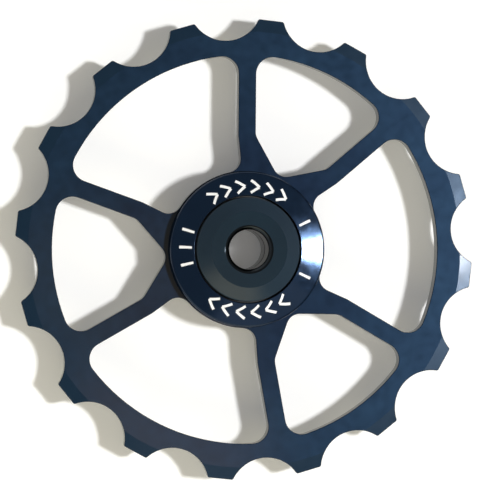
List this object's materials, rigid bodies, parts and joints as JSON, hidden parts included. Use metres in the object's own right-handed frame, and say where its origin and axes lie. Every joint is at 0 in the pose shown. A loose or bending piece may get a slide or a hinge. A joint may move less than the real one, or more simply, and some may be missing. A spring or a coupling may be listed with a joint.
{
  "type": "derailleur jockey wheel",
  "caption": "Toothed aluminium jockey wheel with open spoked web, raised hub, sealed ball bearing and a dust cap on each side; guides and tensions a bicycle chain.",
  "frame": {"origin": "on the axle's centre line, half way between the two caps' outer faces", "axes": "+Z along the axle, out of the front face; +X along the middle of one large window and through the bottom of a tooth seat; +Y by the right-hand rule"},
  "size_m": [0.0624, 0.0624, 0.0086],
  "materials": {
    "navy_aluminium": "dark navy anodised, satin",
    "grey_aluminium": "dark grey anodised, satin, turned",
    "bearing_steel": "ground bearing steel",
    "seal_rubber": "moulded black rubber",
    "print_white": "white pad print on the boss, without words",
    "cage_nylon": "natural nylon"
  },
  "bodies": {
    "axle_set": {"cap_front": "grey_aluminium", "cap_rear": "grey_aluminium", "bearing_inner_ring": "bearing_steel"},
    "wheel": {"wheel_body": "navy_aluminium", "bearing_outer_ring": "bearing_steel", "bearing_seal_front": "seal_rubber", "bearing_seal_rear": "seal_rubber"},
    "ball_set": {"bearing_cage": "cage_nylon", "bearing_ball_1": "bearing_steel", "bearing_ball_2": "bearing_steel", "bearing_ball_3": "bearing_steel", "bearing_ball_4": "bearing_steel", "bearing_ball_5": "bearing_steel", "bearing_ball_6": "bearing_steel", "bearing_ball_7": "bearing_steel", "bearing_ball_8": "bearing_steel", "bearing_ball_9": "bearing_steel"}
  },
  "joints": [
    {"name": "wheel_spin", "type": "hinge", "parent": "axle_set", "child": "wheel", "pos_m": [0, 0, 0], "axis": [0, 0, 1], "continuous": true},
    {"name": "cage_spin", "type": "hinge", "parent": "axle_set", "child": "ball_set", "pos_m": [0, 0, 0], "axis": [0, 0, 1], "continuous": true}
  ],
  "couplings": [
    {"joint": "cage_spin", "follows": "wheel_spin", "ratio": 0.59917}
  ]
}
